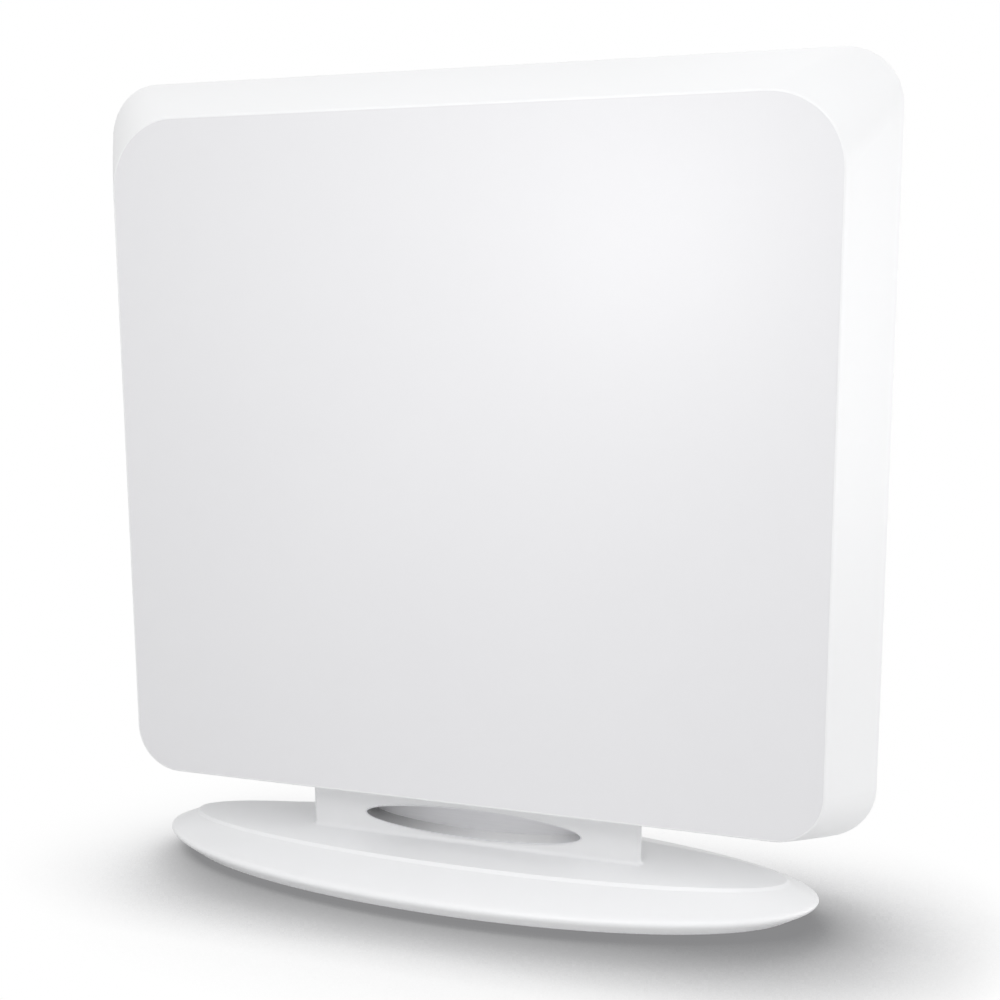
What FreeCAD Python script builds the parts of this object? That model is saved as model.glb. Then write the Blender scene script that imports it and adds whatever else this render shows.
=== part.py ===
import FreeCAD, Part
import math
import os
import Sketcher

# Flat panel television antenna on an oval foot.
# Millimetres, +Z up. The origin is under the middle of the foot, on the surface that it stands on.
# The panel faces -Y. "Depth" is measured backwards (+Y) from the flat front face of the panel, and
# panel heights are measured from the middle of that face.

doc = FreeCAD.newDocument("panel_antenna")
sizes = doc.addObject("Spreadsheet::Sheet", "sizes")

# Driving dimensions: name, value and what it measures
DIMENSIONS = [
    ("face_width", 258.0, "flat front face, side to side"),
    ("face_height", 242.4, "flat front face, bottom to top"),
    ("face_corner", 24.5, "upper corner radius of the flat front face"),
    ("face_corner_low", 16.0, "lower corner radius of the flat front face"),
    ("plate_thickness", 4.0, "front plate"),
    ("plate_gap", 0.02, "seam between the front plate and the rim"),
    ("rim_land", 0.1, "flat front edge of the rim beside the seam"),
    ("rim_rounding", 0.8, "radius of the rim's front edge"),
    ("rim_turn", 57.5, "turn of that rounded edge from the flat face to the slope, in degrees"),
    ("rim_depth", 25.0, "depth of the widest outline, where the two shells part"),
    ("rim_flare", 16.0, "rim beyond the flat face at the sides and top"),
    ("rim_flare_low", 7.0, "rim beyond the flat face at the bottom"),
    ("rim_bulge", 0.2, "outward crown of the rim's slope at the sides and top"),
    ("rim_corner", 19.5, "corner radius of the widest outline"),
    ("shell_wall", 2.4, "wall of the moulded shells"),
    ("ledge_width", 12.0, "ledge behind the front plate"),
    ("ledge_thickness", 2.2, "ledge behind the front plate"),
    ("cover_depth", 21.0, "rear cover, front to back"),
    ("cover_draft", 10.0, "taper of the rear cover's sides, in degrees"),
    ("cover_reveal", 0.3, "step at the parting line"),
    ("cover_rounding", 8.0, "rounded rear edge of the cover"),
    ("boss_radius", 5.0, "screw bosses of the panel"),
    ("case_screw_inset", 4.7, "outer case screws from the ends of the plate's straight sides"),
    ("case_screw_seat", 5.0, "case screw's head behind the parting line"),
    ("case_screw_bite", 11.0, "case screw in front of the parting line"),
    ("screw_radius", 1.5, "shank of every screw"),
    ("screw_head_radius", 2.8, "head of every screw"),
    ("screw_head_height", 2.0, "head of every screw"),
    ("screw_recess", 1.1, "depth of the cross in a screw head"),
    ("screw_cross", 0.9, "width of one bar of the cross"),
    ("screw_cross_margin", 1.1, "rim of a screw head around the cross"),
    ("screw_clearance", 0.15, "room around a screw, on the radius"),
    ("head_clearance", 0.3, "room around a screw head, on the radius"),
    ("screw_spare", 0.6, "free length of a blind hole beyond its screw"),
    ("reflector_inset", 2.9, "reflector sheet inside the screw bosses"),
    ("reflector_drop", 11.2, "reflector sheet below the flat face's upper edge"),
    ("reflector_lift", 22.0, "reflector sheet above the socket"),
    ("reflector_thickness", 0.8, "reflector sheet"),
    ("reflector_corner", 8.0, "reflector sheet"),
    ("reflector_stand", 2.8, "reflector in front of the cover's rear wall"),
    ("element_margin", 12.0, "outer edge of an element inside the reflector's side"),
    ("element_drop", 22.0, "corners of an element inside the reflector's top and bottom"),
    ("element_start", 10.0, "inner edge of an element from the centre line"),
    ("element_tip", 8.0, "half height of an element at its inner edge"),
    ("element_thickness", 1.0, "element sheet"),
    ("post_radius", 4.0, "element post"),
    ("spigot_radius", 2.2, "rear spigot of an element post"),
    ("spigot_length", 2.6, "rear spigot of an element post, past the reflector"),
    ("spigot_gap", 0.2, "room around a spigot, on the radius"),
    ("post_start", 8.0, "inner posts beyond the inner edge of an element"),
    ("post_inset", 12.0, "outer posts inside the outer edge of an element"),
    ("post_drop", 16.0, "outer posts inside the corners of an element"),
    ("element_screw_bite", 9.0, "element screw inside its post"),
    ("board_width", 52.0, "feed board"),
    ("board_height", 30.0, "feed board"),
    ("board_thickness", 1.6, "feed board"),
    ("core_gap", 3.4, "transformer core behind the front plate"),
    ("core_width", 13.0, "two-hole transformer core"),
    ("core_height", 14.0, "two-hole transformer core"),
    ("core_depth", 7.0, "two-hole transformer core"),
    ("core_bore", 1.9, "radius of a hole in the core"),
    ("core_pitch", 5.6, "distance between the holes in the core"),
    ("lead_radius", 2.0, "lead from the board to the socket"),
    ("lead_gap", 0.3, "lead behind the board"),
    ("lead_bend", 14.0, "bend radius of the lead"),
    ("lead_overlap", 6.0, "lead above the middle of the board"),
    ("socket_lift", 49.2, "socket above the flat face's lower edge"),
    ("socket_radius", 4.7625, "threaded barrel, three eighths of an inch across"),
    ("socket_reach", 11.5, "barrel's end behind the rear cover"),
    ("socket_wall", 1.45, "wall of the barrel"),
    ("shank_step", 0.5, "mounting shank beyond the barrel, on the radius"),
    ("shank_proud", 0.5, "shank behind its nut"),
    ("groove_width", 0.8, "groove between the shank and the barrel"),
    ("groove_depth", 0.5, "groove between the shank and the barrel"),
    ("socket_end", 3.0, "closed length at the tail of the socket"),
    ("socket_clearance", 0.2, "room around the shank, on the radius"),
    ("socket_tail", 5.0, "tail of the socket in front of its flange"),
    ("flange_ledge", 1.85, "flats of the inner flange beyond the shank"),
    ("flange_thickness", 2.5, "inner flange"),
    ("insulator_gap", 0.1, "room between socket, insulator and contact, on the radius"),
    ("insulator_setback", 1.0, "insulator inside the barrel's end"),
    ("contact_bore", 0.5, "bore of the spring contact"),
    ("contact_wall", 0.7, "wall of the spring contact"),
    ("contact_setback", 2.0, "contact inside the barrel's end"),
    ("washer_ledge", 2.6, "socket washer beyond the shank"),
    ("washer_thickness", 0.8, "socket washer"),
    ("nut_wall", 0.8, "flats of the socket nut beyond the shank"),
    ("nut_gap", 0.1, "room between the nut and the shank, on the radius"),
    ("nut_thickness", 2.4, "socket nut"),
    ("face_lift", 23.1, "flat face's lower edge above the foot's flat top"),
    ("panel_forward", 20.8, "flat front face in front of the middle of the foot"),
    ("pad_height", 1.5, "rubber pads below the base tray"),
    ("pad_radius", 6.0, "rubber pads"),
    ("pad_seat", 1.0, "rubber pads, depth in the tray"),
    ("pad_gap", 0.2, "room around a rubber pad, on the radius"),
    ("pad_end", 43.0, "rubber pads inside the ends of the tray's bottom"),
    ("pad_side", 19.2, "rubber pads inside the sides of the tray's bottom"),
    ("pad_rounding", 0.5, "lower edge of a rubber pad"),
    ("tray_height", 5.7, "base tray, bottom to its widest edge"),
    ("tray_end", 9.8, "slope of the tray at its ends"),
    ("tray_side", 4.7, "slope of the tray at its sides"),
    ("foot_rise", 6.3, "flat top above the widest edge"),
    ("foot_end", 11.4, "slope of the foot at its ends"),
    ("foot_side", 19.2, "slope of the foot at its sides"),
    ("top_length", 117.4, "half length of the top, with its bevel"),
    ("top_shelf", 3.16, "flat top behind the rear corners of the neck"),
    ("shelf_edge", 1.66, "part of that shelf behind the fillet at the neck's root"),
    ("top_bevel", 1.3, "bevel around the flat top, across"),
    ("top_bevel_drop", 1.0, "bevel around the flat top, down"),
    ("foot_skirt", 2.2, "foot below its sharp outline, rounded, down to the parting line"),
    ("foot_shoulder", 1.2, "foot above its sharp outline that is rounded"),
    ("foot_wall", 2.2, "wall of the foot and floor of the tray"),
    ("base_screw_end", 17.4, "base screws inside the ends of the top"),
    ("base_screw_y", 8.0, "base screws from the middle of the foot"),
    ("base_head_sink", 0.2, "head of a base screw above the tray's underside"),
    ("base_seat", 1.8, "tray between a base screw's head and the end of its post"),
    ("base_boss_radius", 4.6, "screw posts and bosses in the foot"),
    ("ballast_end", 20.4, "ballast plate inside the screw posts"),
    ("ballast_side", 15.2, "ballast plate inside the sides of the tray's bottom"),
    ("ballast_corner", 10.0, "ballast plate"),
    ("ballast_thickness", 5.0, "ballast plate"),
    ("ballast_rib_breadth", 14.0, "half breadth of the ribs that hold the ballast down"),
    ("neck_width", 65.3, "half width of the neck at its front"),
    ("neck_taper", 8.0, "neck narrower at its back, each side"),
    ("neck_setback", 17.8, "neck's front behind the flat face"),
    ("neck_margin", 1.5, "neck's back behind the tongue"),
    ("neck_edge", 1.6, "rounded upright edges of the neck"),
    ("neck_gap", 0.3, "neck's top below the panel"),
    ("neck_wall", 2.5, "walls of the hollow neck"),
    ("tongue_inset", 3.6, "tongue behind the parting line"),
    ("tongue_thickness", 7.0, "tongue"),
    ("tongue_width", 45.0, "half width of the tongue"),
    ("tongue_length", 30.0, "tongue above the neck"),
    ("tongue_gap", 0.4, "room around the tongue in its slot"),
    ("stand_screw_x", 28.0, "stand screws from the centre line"),
    ("stand_screw_rise", 19.0, "stand screws above the neck's top"),
    ("tongue_skin", 0.9, "tongue in front of the end of a stand screw's hole"),
    ("stand_screw_seat", 2.6, "stand screw's head behind the tongue"),
    ("oval_side", 22.5, "neck beside the oval recess"),
    ("oval_below", 1.8, "neck below the oval recess"),
    ("oval_above", 2.2, "neck above the oval recess"),
    ("oval_depth", 9.3, "oval recess"),
    ("oval_gap", 0.1, "room around the oval trim"),
    ("trim_wall", 0.5, "wall of the oval trim"),
    ("trim_floor", 1.2, "floor of the oval trim"),
]
for row, (alias, number, note) in enumerate(DIMENSIONS, start=1):
    sizes.set(f"A{row}", note)
    sizes.set(f"B{row}", str(number))
    sizes.setAlias(f"B{row}", alias)
doc.recompute()

# Places that several pieces share, as expressions on the sheet
SEAT_SIDE = "(sizes.face_width / 2 + sizes.plate_gap)"
SEAT_RISE = "(sizes.face_height / 2 + sizes.plate_gap)"
SEAT_CORNER = "(sizes.face_corner + sizes.plate_gap)"
SEAT_CORNER_LOW = "(sizes.face_corner_low + sizes.plate_gap)"
RIM_START = "(sizes.rim_rounding * (1 - cos(sizes.rim_turn)))"
LEDGE_BACK = "(sizes.plate_thickness + sizes.ledge_thickness)"
PANEL_DEPTH = "(sizes.rim_depth + sizes.cover_depth)"
REAR_WALL = f"({PANEL_DEPTH} - sizes.shell_wall)"
REFLECTOR_BACK = f"({REAR_WALL} - sizes.reflector_stand)"
REFLECTOR_FRONT = f"({REFLECTOR_BACK} - sizes.reflector_thickness)"
BOARD_FRONT = "(sizes.plate_thickness + sizes.core_gap + sizes.core_depth)"
ELEMENT_FRONT = f"({BOARD_FRONT} + sizes.board_thickness)"
ELEMENT_BACK = f"({ELEMENT_FRONT} + sizes.element_thickness)"
SCREW_HOLE = "(sizes.screw_radius + sizes.screw_clearance)"
HEAD_HOLE = "(sizes.screw_head_radius + sizes.head_clearance)"
CASE_SCREW_X = f"({SEAT_SIDE} - sizes.ledge_width / 2)"
CASE_SCREW_Z = f"({SEAT_RISE} - {SEAT_CORNER} - sizes.case_screw_inset)"
CASE_SCREW_SEAT = "(sizes.rim_depth + sizes.case_screw_seat)"
SOCKET_Z = "(sizes.socket_lift - sizes.face_height / 2)"
SHANK = "(sizes.socket_radius + sizes.shank_step)"
REFLECTOR_SIDE = f"({CASE_SCREW_X} - sizes.boss_radius - sizes.reflector_inset)"
REFLECTOR_TOP = "(sizes.face_height / 2 - sizes.reflector_drop)"
REFLECTOR_LOW = f"({SOCKET_Z} + sizes.reflector_lift)"
ELEMENT_MIDDLE = f"(({REFLECTOR_TOP} + {REFLECTOR_LOW}) / 2)"
ELEMENT_REACH = f"({REFLECTOR_SIDE} - sizes.element_margin)"
ELEMENT_END = f"({REFLECTOR_TOP} - {ELEMENT_MIDDLE} - sizes.element_drop)"
INNER_POST_X = "(sizes.element_start + sizes.post_start)"
OUTER_POST_X = f"({ELEMENT_REACH} - sizes.post_inset)"
OUTER_POST_RISE = f"({ELEMENT_END} - sizes.post_drop)"
POST_HOLE = "(sizes.spigot_radius + sizes.spigot_gap)"

FOOT_EDGE = "(sizes.pad_height + sizes.tray_height)"
FOOT_TOP = f"({FOOT_EDGE} + sizes.foot_rise)"
FOOT_PARTING = f"({FOOT_EDGE} - sizes.foot_skirt)"
TRAY_FLOOR = "(sizes.pad_height + sizes.foot_wall)"
PANEL_Y = "(-sizes.panel_forward)"
PANEL_Z = f"({FOOT_TOP} + sizes.face_lift + sizes.face_height / 2)"
NECK_TOP = f"({FOOT_TOP} + sizes.face_lift - sizes.rim_flare_low - sizes.neck_gap)"
NECK_FRONT = f"({PANEL_Y} + sizes.neck_setback)"
TONGUE_FRONT = "(sizes.rim_depth + sizes.tongue_inset)"
TONGUE_BACK = f"({TONGUE_FRONT} + sizes.tongue_thickness)"
NECK_BACK = f"({PANEL_Y} + {TONGUE_BACK} + sizes.neck_margin)"
NECK_REAR_WIDTH = "(sizes.neck_width - sizes.neck_taper)"
STAND_SCREW_Z = f"({NECK_TOP} + sizes.stand_screw_rise)"
STAND_SCREW_BITE = "(sizes.tongue_thickness - sizes.tongue_skin - sizes.screw_spare)"
OVAL_LENGTH = "(sizes.neck_width - sizes.oval_side)"
OVAL_RISE = f"(({NECK_TOP} - {FOOT_TOP} - sizes.oval_below - sizes.oval_above) / 2)"
OVAL_Z = f"({FOOT_TOP} + sizes.oval_below + {OVAL_RISE})"

# The flat top is just broad enough for a shelf behind the rear corners of the neck
FLAT_LENGTH = "(sizes.top_length - sizes.top_bevel)"
CORNER_SHARE = f"sqrt(1 - pow({NECK_REAR_WIDTH} / {FLAT_LENGTH}; 2))"
FLAT_BREADTH = f"(({NECK_BACK} + sizes.top_shelf) / {CORNER_SHARE})"
TOP_BREADTH = f"({FLAT_BREADTH} + sizes.top_bevel)"
FOOT_LENGTH = "(sizes.top_length + sizes.foot_end)"
FOOT_BREADTH = f"({TOP_BREADTH} + sizes.foot_side)"
TRAY_LENGTH = f"({FOOT_LENGTH} - sizes.tray_end)"
TRAY_BREADTH = f"({FOOT_BREADTH} - sizes.tray_side)"
BASE_SCREW_X = "(sizes.top_length - sizes.base_screw_end)"
BASE_HEAD_DEPTH = "(sizes.screw_head_height + sizes.base_head_sink)"
BASE_POST = f"({BASE_HEAD_DEPTH} + sizes.base_seat)"

CASE_SCREWS = []
for step in (-1, 0, 1):
    for hand in (-1, 1):
        CASE_SCREWS.append((f"{hand} * {CASE_SCREW_X}", f"{step} * {CASE_SCREW_Z}"))
STAND_SCREWS = [(f"{hand} * sizes.stand_screw_x", f"{STAND_SCREW_Z} - {PANEL_Z}") for hand in (-1, 1)]
INNER_POSTS = {}
OUTER_POSTS = {}
for side_name, hand in (("left", -1), ("right", 1)):
    INNER_POSTS[f"{side_name}_inner_post"] = (f"{hand} * {INNER_POST_X}", ELEMENT_MIDDLE)
    for level_name, level in (("lower", -1), ("upper", 1)):
        OUTER_POSTS[f"{side_name}_{level_name}_post"] = (
            f"{hand} * {OUTER_POST_X}",
            f"{ELEMENT_MIDDLE} + {level} * {OUTER_POST_RISE}",
        )
POSTS = {**INNER_POSTS, **OUTER_POSTS}
BASE_SCREWS = []
PAD_PLACES = {}
for row_name, row_sign in (("front", -1), ("rear", 1)):
    for side_name, hand in (("left", -1), ("right", 1)):
        BASE_SCREWS.append((f"{hand} * {BASE_SCREW_X}", f"{row_sign} * sizes.base_screw_y"))
        PAD_PLACES[f"{row_name}_{side_name}_pad"] = (
            f"{hand} * ({TRAY_LENGTH} - sizes.pad_end)",
            f"{row_sign} * ({TRAY_BREADTH} - sizes.pad_side)",
        )

# Turns an axis that points up into one that points backwards, or forwards
BACKWARDS = FreeCAD.Rotation(FreeCAD.Vector(1, 0, 0), -90)
FORWARDS = FreeCAD.Rotation(FreeCAD.Vector(1, 0, 0), 90)
UPWARDS = FreeCAD.Rotation()

# How close two places are when they count as the same
SAME_PLACE = 0.01

finished = []


def value(expression):
    """The number that an expression on the sheet gives now."""
    return float(sizes.evalExpression(expression))


def place(item, x, y, z, rotation=UPWARDS):
    """Turn an object and bind its position to the sheet."""
    item.Placement = FreeCAD.Placement(FreeCAD.Vector(), rotation)
    for axis, expression in (("x", x), ("y", y), ("z", z)):
        item.setExpression(f"Placement.Base.{axis}", expression)


def in_panel(item, x="0", depth="0", height="0", rotation=UPWARDS):
    """Place an object by its depth behind the flat face and its height from the face's middle."""
    place(item, x, f"{PANEL_Y} + {depth}", f"{PANEL_Z} + {height}", rotation)


def new_body(label):
    body = doc.addObject("PartDesign::Body", label)
    body.Label = label
    return body


def sub_part(label):
    """A body that is written out as a piece of the antenna."""
    body = new_body(label)
    finished.append(body)
    return body


def sketch_on(body, role, offset):
    """A sketch on one of the body's own planes, moved along that plane's normal."""
    sketch = body.newObject("Sketcher::SketchObject", "sketch")
    plane = [item for item in body.Origin.OriginFeatures if item.Role == role][0]
    sketch.AttachmentSupport = [(plane, "")]
    sketch.MapMode = "FlatFace"
    sketch.setExpression("AttachmentOffset.Base.z", offset)
    return sketch


def sketch_at_depth(body, depth):
    """An upright sketch: X to the right, Y up, seen from the front."""
    return sketch_on(body, "XZ_Plane", f"-({depth})")


def sketch_at_height(body, height):
    return sketch_on(body, "XY_Plane", height)


def dimension(sketch, kind, *elements, size):
    """A dimension in a sketch that follows an expression on the sheet."""
    index = sketch.addConstraint(Sketcher.Constraint(kind, *elements, value(size)))
    sketch.setExpression(f"Constraints[{index}]", size)


def pin_point(sketch, geometry, point, x, y):
    """Hold a point of a sketch at (x, y) from the sketch's origin."""
    for kind, axis_line, size in (("DistanceX", -2, x), ("DistanceY", -1, y)):
        number = value(size)
        if number == 0:
            sketch.addConstraint(Sketcher.Constraint("PointOnObject", geometry, point, axis_line))
        elif number > 0:
            dimension(sketch, kind, -1, 1, geometry, point, size=size)
        else:
            dimension(sketch, kind, geometry, point, -1, 1, size=f"-({size})")


def polygon(sketch, points):
    """A closed outline of straight edges."""
    corners = [FreeCAD.Vector(value(x), value(y), 0) for x, y in points]
    count = len(corners)
    first = sketch.GeometryCount
    for index in range(count):
        sketch.addGeometry(Part.LineSegment(corners[index], corners[(index + 1) % count]))
    for index in range(count):
        following = first + (index + 1) % count
        sketch.addConstraint(Sketcher.Constraint("Coincident", first + index, 2, following, 1))
    for index, (x, y) in enumerate(points):
        pin_point(sketch, first + index, 1, x, y)


def rectangle(sketch, left, right, bottom, top):
    polygon(sketch, [(left, bottom), (right, bottom), (right, top), (left, top)])


def circles(sketch, radius, centres):
    for x, y in centres:
        middle = FreeCAD.Vector(value(x), value(y), 0)
        ring = sketch.addGeometry(Part.Circle(middle, FreeCAD.Vector(0, 0, 1), value(radius)))
        dimension(sketch, "Radius", ring, size=radius)
        pin_point(sketch, ring, 3, x, y)


def ellipse(sketch, length, breadth, x="0", y="0"):
    """An oval with its half length along the sketch's X and its half breadth along Y."""
    centre = FreeCAD.Vector(value(x), value(y), 0)
    end = centre + FreeCAD.Vector(value(length), 0, 0)
    side = centre + FreeCAD.Vector(0, value(breadth), 0)
    oval = sketch.addGeometry(Part.Ellipse(end, side, centre))
    sketch.exposeInternalGeometry(oval)
    long_axis = oval + 1
    short_axis = oval + 2
    sketch.addConstraint(Sketcher.Constraint("Horizontal", long_axis))
    dimension(sketch, "Distance", long_axis, size=f"2 * ({length})")
    dimension(sketch, "Distance", short_axis, size=f"2 * ({breadth})")
    pin_point(sketch, oval, 3, x, y)


def rounded_outline(sketch, side, top, bottom, corner, low_corner):
    """A rounded rectangle that reaches "side" each way, "top" up and "bottom" down."""
    half = value(side)
    upper = value(top)
    lower = -value(bottom)
    wide = value(corner)
    tight = value(low_corner)
    lines = [
        ((tight - half, lower), (half - tight, lower)),
        ((half, lower + tight), (half, upper - wide)),
        ((half - wide, upper), (wide - half, upper)),
        ((-half, upper - wide), (-half, lower + tight)),
    ]
    corners = [
        (half - tight, lower + tight, tight, -90),
        (half - wide, upper - wide, wide, 0),
        (wide - half, upper - wide, wide, 90),
        (tight - half, lower + tight, tight, 180),
    ]
    for (line_start, line_end), (x, y, radius, turn) in zip(lines, corners):
        sketch.addGeometry(Part.LineSegment(FreeCAD.Vector(*line_start, 0), FreeCAD.Vector(*line_end, 0)))
        ring = Part.Circle(FreeCAD.Vector(x, y, 0), FreeCAD.Vector(0, 0, 1), radius)
        sketch.addGeometry(Part.ArcOfCircle(ring, math.radians(turn), math.radians(turn + 90)))
    edges = sketch.GeometryCount
    for index in range(edges):
        sketch.addConstraint(Sketcher.Constraint("Tangent", index, 2, (index + 1) % edges, 1))
    sketch.addConstraint(Sketcher.Constraint("Equal", 1, 7))
    sketch.addConstraint(Sketcher.Constraint("Equal", 3, 5))
    sketch.addConstraint(Sketcher.Constraint("Horizontal", 0))
    sketch.addConstraint(Sketcher.Constraint("Vertical", 2))
    dimension(sketch, "Radius", 1, size=low_corner)
    dimension(sketch, "Radius", 3, size=corner)
    dimension(sketch, "DistanceX", -1, 1, 2, 1, size=side)
    dimension(sketch, "DistanceX", 6, 1, -1, 1, size=side)
    dimension(sketch, "DistanceY", -1, 1, 4, 1, size=top)
    dimension(sketch, "DistanceY", 0, 1, -1, 1, size=bottom)


def pad(body, sketch, length, reverse=False):
    feature = body.newObject("PartDesign::Pad", "pad")
    feature.Profile = sketch
    feature.Reversed = reverse
    feature.setExpression("Length", length)
    return feature


def pocket(body, sketch, length, reverse=False):
    """Cut a sketch's outline; a depth sketch cuts backwards and a height sketch cuts downwards."""
    feature = body.newObject("PartDesign::Pocket", "pocket")
    feature.Profile = sketch
    feature.Reversed = reverse
    feature.setExpression("Length", length)
    return feature


def loft(body, kind, sketches, ruled):
    feature = body.newObject(f"PartDesign::{kind}Loft", "loft")
    feature.Profile = sketches[0]
    feature.Sections = sketches[1:]
    feature.Ruled = ruled
    return feature


def fillet(body, base, radius, chosen):
    """Round the edges of the body that a test picks."""
    doc.recompute()
    names = [f"Edge{number}" for number, edge in enumerate(base.Shape.Edges, start=1) if chosen(edge)]
    feature = body.newObject("PartDesign::Fillet", "fillet")
    feature.Base = (base, names)
    feature.setExpression("Radius", radius)
    return feature


def level_edge(axis, place_on_axis):
    """A test for edges that lie wholly at one place along an axis."""
    def chosen(edge):
        box = edge.BoundBox
        low = getattr(box, f"{axis}Min")
        high = getattr(box, f"{axis}Max")
        return abs(low - place_on_axis) < SAME_PLACE and abs(high - place_on_axis) < SAME_PLACE
    return chosen


# Front plate: the flat face of the panel, a sheet seated in the rim on a ledge and flush with its edge
def front_panel():
    body = sub_part("front_panel")
    sketch = sketch_at_depth(body, "0")
    rise = "sizes.face_height / 2"
    rounded_outline(sketch, "sizes.face_width / 2", rise, rise, "sizes.face_corner", "sizes.face_corner_low")
    pad(body, sketch, "sizes.plate_thickness", reverse=True)
    in_panel(body)


# Rim: the flared frame around the front plate. Its front edge is rounded from the flat face to the slope.
def seat_outline(body, depth, beyond):
    """An outline that runs at an even distance outside the seat of the front plate."""
    sketch = sketch_at_depth(body, depth)
    rise = f"{SEAT_RISE} + ({beyond})"
    rounded_outline(sketch, f"{SEAT_SIDE} + ({beyond})", rise, rise,
                    f"{SEAT_CORNER} + ({beyond})", f"{SEAT_CORNER_LOW} + ({beyond})")
    return sketch


def rim_outline(body, share, inset="0"):
    """An outline of the slope, from the rounded front edge (0) to the parting line (1)."""
    def between(front, back, crown="0"):
        slope = f"({front}) * (1 - ({share})) + ({back}) * ({share})"
        # A parabola that is as high as the crown halfway along the slope
        arch = f"4 * ({crown}) * ({share}) * (1 - ({share}))"
        return f"{slope} + {arch} - {inset}"

    edge = "sizes.rim_land + sizes.rim_rounding * sin(sizes.rim_turn)"
    low_bulge = "sizes.rim_bulge * sizes.rim_flare_low / sizes.rim_flare"
    side = between(f"{SEAT_SIDE} + {edge}", "sizes.face_width / 2 + sizes.rim_flare", "sizes.rim_bulge")
    top = between(f"{SEAT_RISE} + {edge}", "sizes.face_height / 2 + sizes.rim_flare", "sizes.rim_bulge")
    bottom = between(f"{SEAT_RISE} + {edge}", "sizes.face_height / 2 + sizes.rim_flare_low", low_bulge)
    corner = between(f"{SEAT_CORNER} + {edge}", "sizes.rim_corner")
    low_corner = between(f"{SEAT_CORNER_LOW} + {edge}", "sizes.rim_corner")
    sketch = sketch_at_depth(body, f"{RIM_START} + (sizes.rim_depth - {RIM_START}) * ({share})")
    rounded_outline(sketch, side, top, bottom, corner, low_corner)
    return sketch


def bezel_frame():
    body = sub_part("bezel_frame")
    edge = []
    turns = 3
    for step in range(turns + 1):
        turn = f"(sizes.rim_turn * {step} / {turns})"
        depth = f"sizes.rim_rounding * (1 - cos({turn}))"
        edge.append(seat_outline(body, depth, f"sizes.rim_land + sizes.rim_rounding * sin({turn})"))
    loft(body, "Additive", edge, ruled=False)
    slope = []
    for share in ("0", "0.5", "1"):
        slope.append(rim_outline(body, share))
    loft(body, "Additive", slope, ruled=False)

    # The seat for the front plate, and the window that leaves a ledge behind it
    seat = seat_outline(body, "0", "0")
    pocket(body, seat, "sizes.plate_thickness")
    window = seat_outline(body, "0", "-sizes.ledge_width")
    pocket(body, window, "sizes.rim_depth")

    # The hollow behind the ledge follows the rim at one wall's thickness
    ledge_share = f"(({LEDGE_BACK} - {RIM_START}) / (sizes.rim_depth - {RIM_START}))"
    inside = []
    for share in (ledge_share, f"((1 + {ledge_share}) / 2)", "1"):
        inside.append(rim_outline(body, share, "sizes.shell_wall"))
    loft(body, "Subtractive", inside, ruled=False)

    bosses = sketch_at_depth(body, "sizes.plate_thickness")
    circles(bosses, "sizes.boss_radius", CASE_SCREWS)
    pad(body, bosses, "sizes.rim_depth - sizes.plate_thickness", reverse=True)
    hole_length = "(sizes.case_screw_bite + sizes.screw_spare)"
    pilots = sketch_at_depth(body, f"sizes.rim_depth - {hole_length}")
    circles(pilots, SCREW_HOLE, CASE_SCREWS)
    pocket(body, pilots, hole_length)
    in_panel(body)


# Rear cover: a tapered tray that closes the panel from behind
def cover_outline(body, depth, inset):
    sketch = sketch_at_depth(body, depth)
    corner = f"sizes.rim_corner - sizes.cover_reveal - {inset} / 2"
    rounded_outline(
        sketch,
        f"sizes.face_width / 2 + sizes.rim_flare - sizes.cover_reveal - {inset}",
        f"sizes.face_height / 2 + sizes.rim_flare - sizes.cover_reveal - {inset}",
        f"sizes.face_height / 2 + sizes.rim_flare_low - sizes.cover_reveal - {inset}",
        corner,
        corner,
    )
    return sketch


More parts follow.
